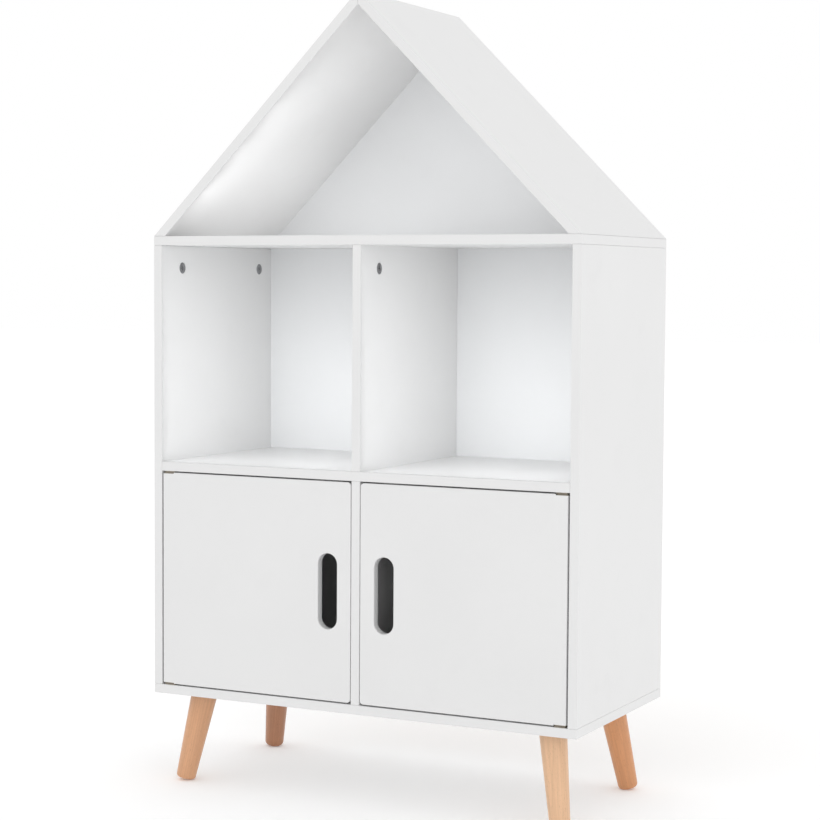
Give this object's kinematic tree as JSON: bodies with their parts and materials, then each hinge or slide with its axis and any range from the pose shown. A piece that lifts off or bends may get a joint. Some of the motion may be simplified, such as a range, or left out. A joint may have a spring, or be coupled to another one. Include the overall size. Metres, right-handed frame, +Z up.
{
  "type": "house-shaped cabinet",
  "caption": "Children's cabinet shaped like a house: open gable niche, open niches over hinged doors with finger slots, splayed round legs.",
  "frame": {"origin": "on the floor, under the middle of the carcass's width and depth", "axes": "+Z up, -Y out of the front, +X to the right as seen from the front"},
  "size_m": [0.6, 0.29, 1.0185],
  "materials": {
    "white_board": "satin white lacquer on fibreboard",
    "back_board": "satin white foil on thin fibreboard",
    "beech": "clear satin lacquer on beech",
    "dowel_beech": "bare beech",
    "cam_zinc": "dull die-cast zinc",
    "zinc_steel": "bright zinc plate",
    "plate_steel": "zinc plate",
    "hinge_bronze": "dark bronzed",
    "hinge_screw": "dark bronzed",
    "catch_plastic": "white moulded plastic",
    "magnet": "nickel grey"
  },
  "bodies": {
    "carcass": {"back_left_leg": "beech", "back_left_leg_plate": "plate_steel", "back_panel": "back_board", "back_right_leg": "beech", "back_right_leg_plate": "plate_steel", "bottom_panel": "white_board", "cabinet_leaf_screws": "hinge_screw", "cam_bolts": "zinc_steel", "cam_locks": "cam_zinc", "catch_screws": "zinc_steel", "front_left_leg": "beech", "front_left_leg_plate": "plate_steel", "front_right_leg": "beech", "front_right_leg_plate": "plate_steel", "gable_back_panel": "back_board", "hinge_pins": "hinge_bronze", "left_catch_housing": "catch_plastic", "left_catch_magnet": "magnet", "left_roof_panel": "white_board", "left_side_panel": "white_board", "leg_hanger_bolts": "zinc_steel", "leg_plate_screws": "zinc_steel", "lower_divider": "white_board", "lower_left_cabinet_leaf": "hinge_bronze", "lower_right_cabinet_leaf": "hinge_bronze", "middle_shelf": "white_board", "right_catch_housing": "catch_plastic", "right_catch_magnet": "magnet", "right_roof_panel": "white_board", "right_side_panel": "white_board", "roof_dowels": "dowel_beech", "top_panel": "white_board", "upper_divider": "white_board", "upper_left_cabinet_leaf": "hinge_bronze", "upper_right_cabinet_leaf": "hinge_bronze", "wooden_dowels": "dowel_beech"},
    "left_door": {"left_door": "white_board", "left_door_leaf_screws": "hinge_screw", "left_strike_plate": "zinc_steel", "left_strike_screw": "zinc_steel", "lower_left_door_leaf": "hinge_bronze", "upper_left_door_leaf": "hinge_bronze"},
    "right_door": {"lower_right_door_leaf": "hinge_bronze", "right_door": "white_board", "right_door_leaf_screws": "hinge_screw", "right_strike_plate": "zinc_steel", "right_strike_screw": "zinc_steel", "upper_right_door_leaf": "hinge_bronze"}
  },
  "joints": [
    {"name": "left_door_hinge", "type": "hinge", "parent": "carcass", "child": "left_door", "pos_m": [-0.2788, -0.14, 0.2715], "axis": [0, 0, -1], "range_deg": [0, 110]},
    {"name": "right_door_hinge", "type": "hinge", "parent": "carcass", "child": "right_door", "pos_m": [0.2788, -0.14, 0.2715], "axis": [0, 0, 1], "range_deg": [0, 110]}
  ]
}
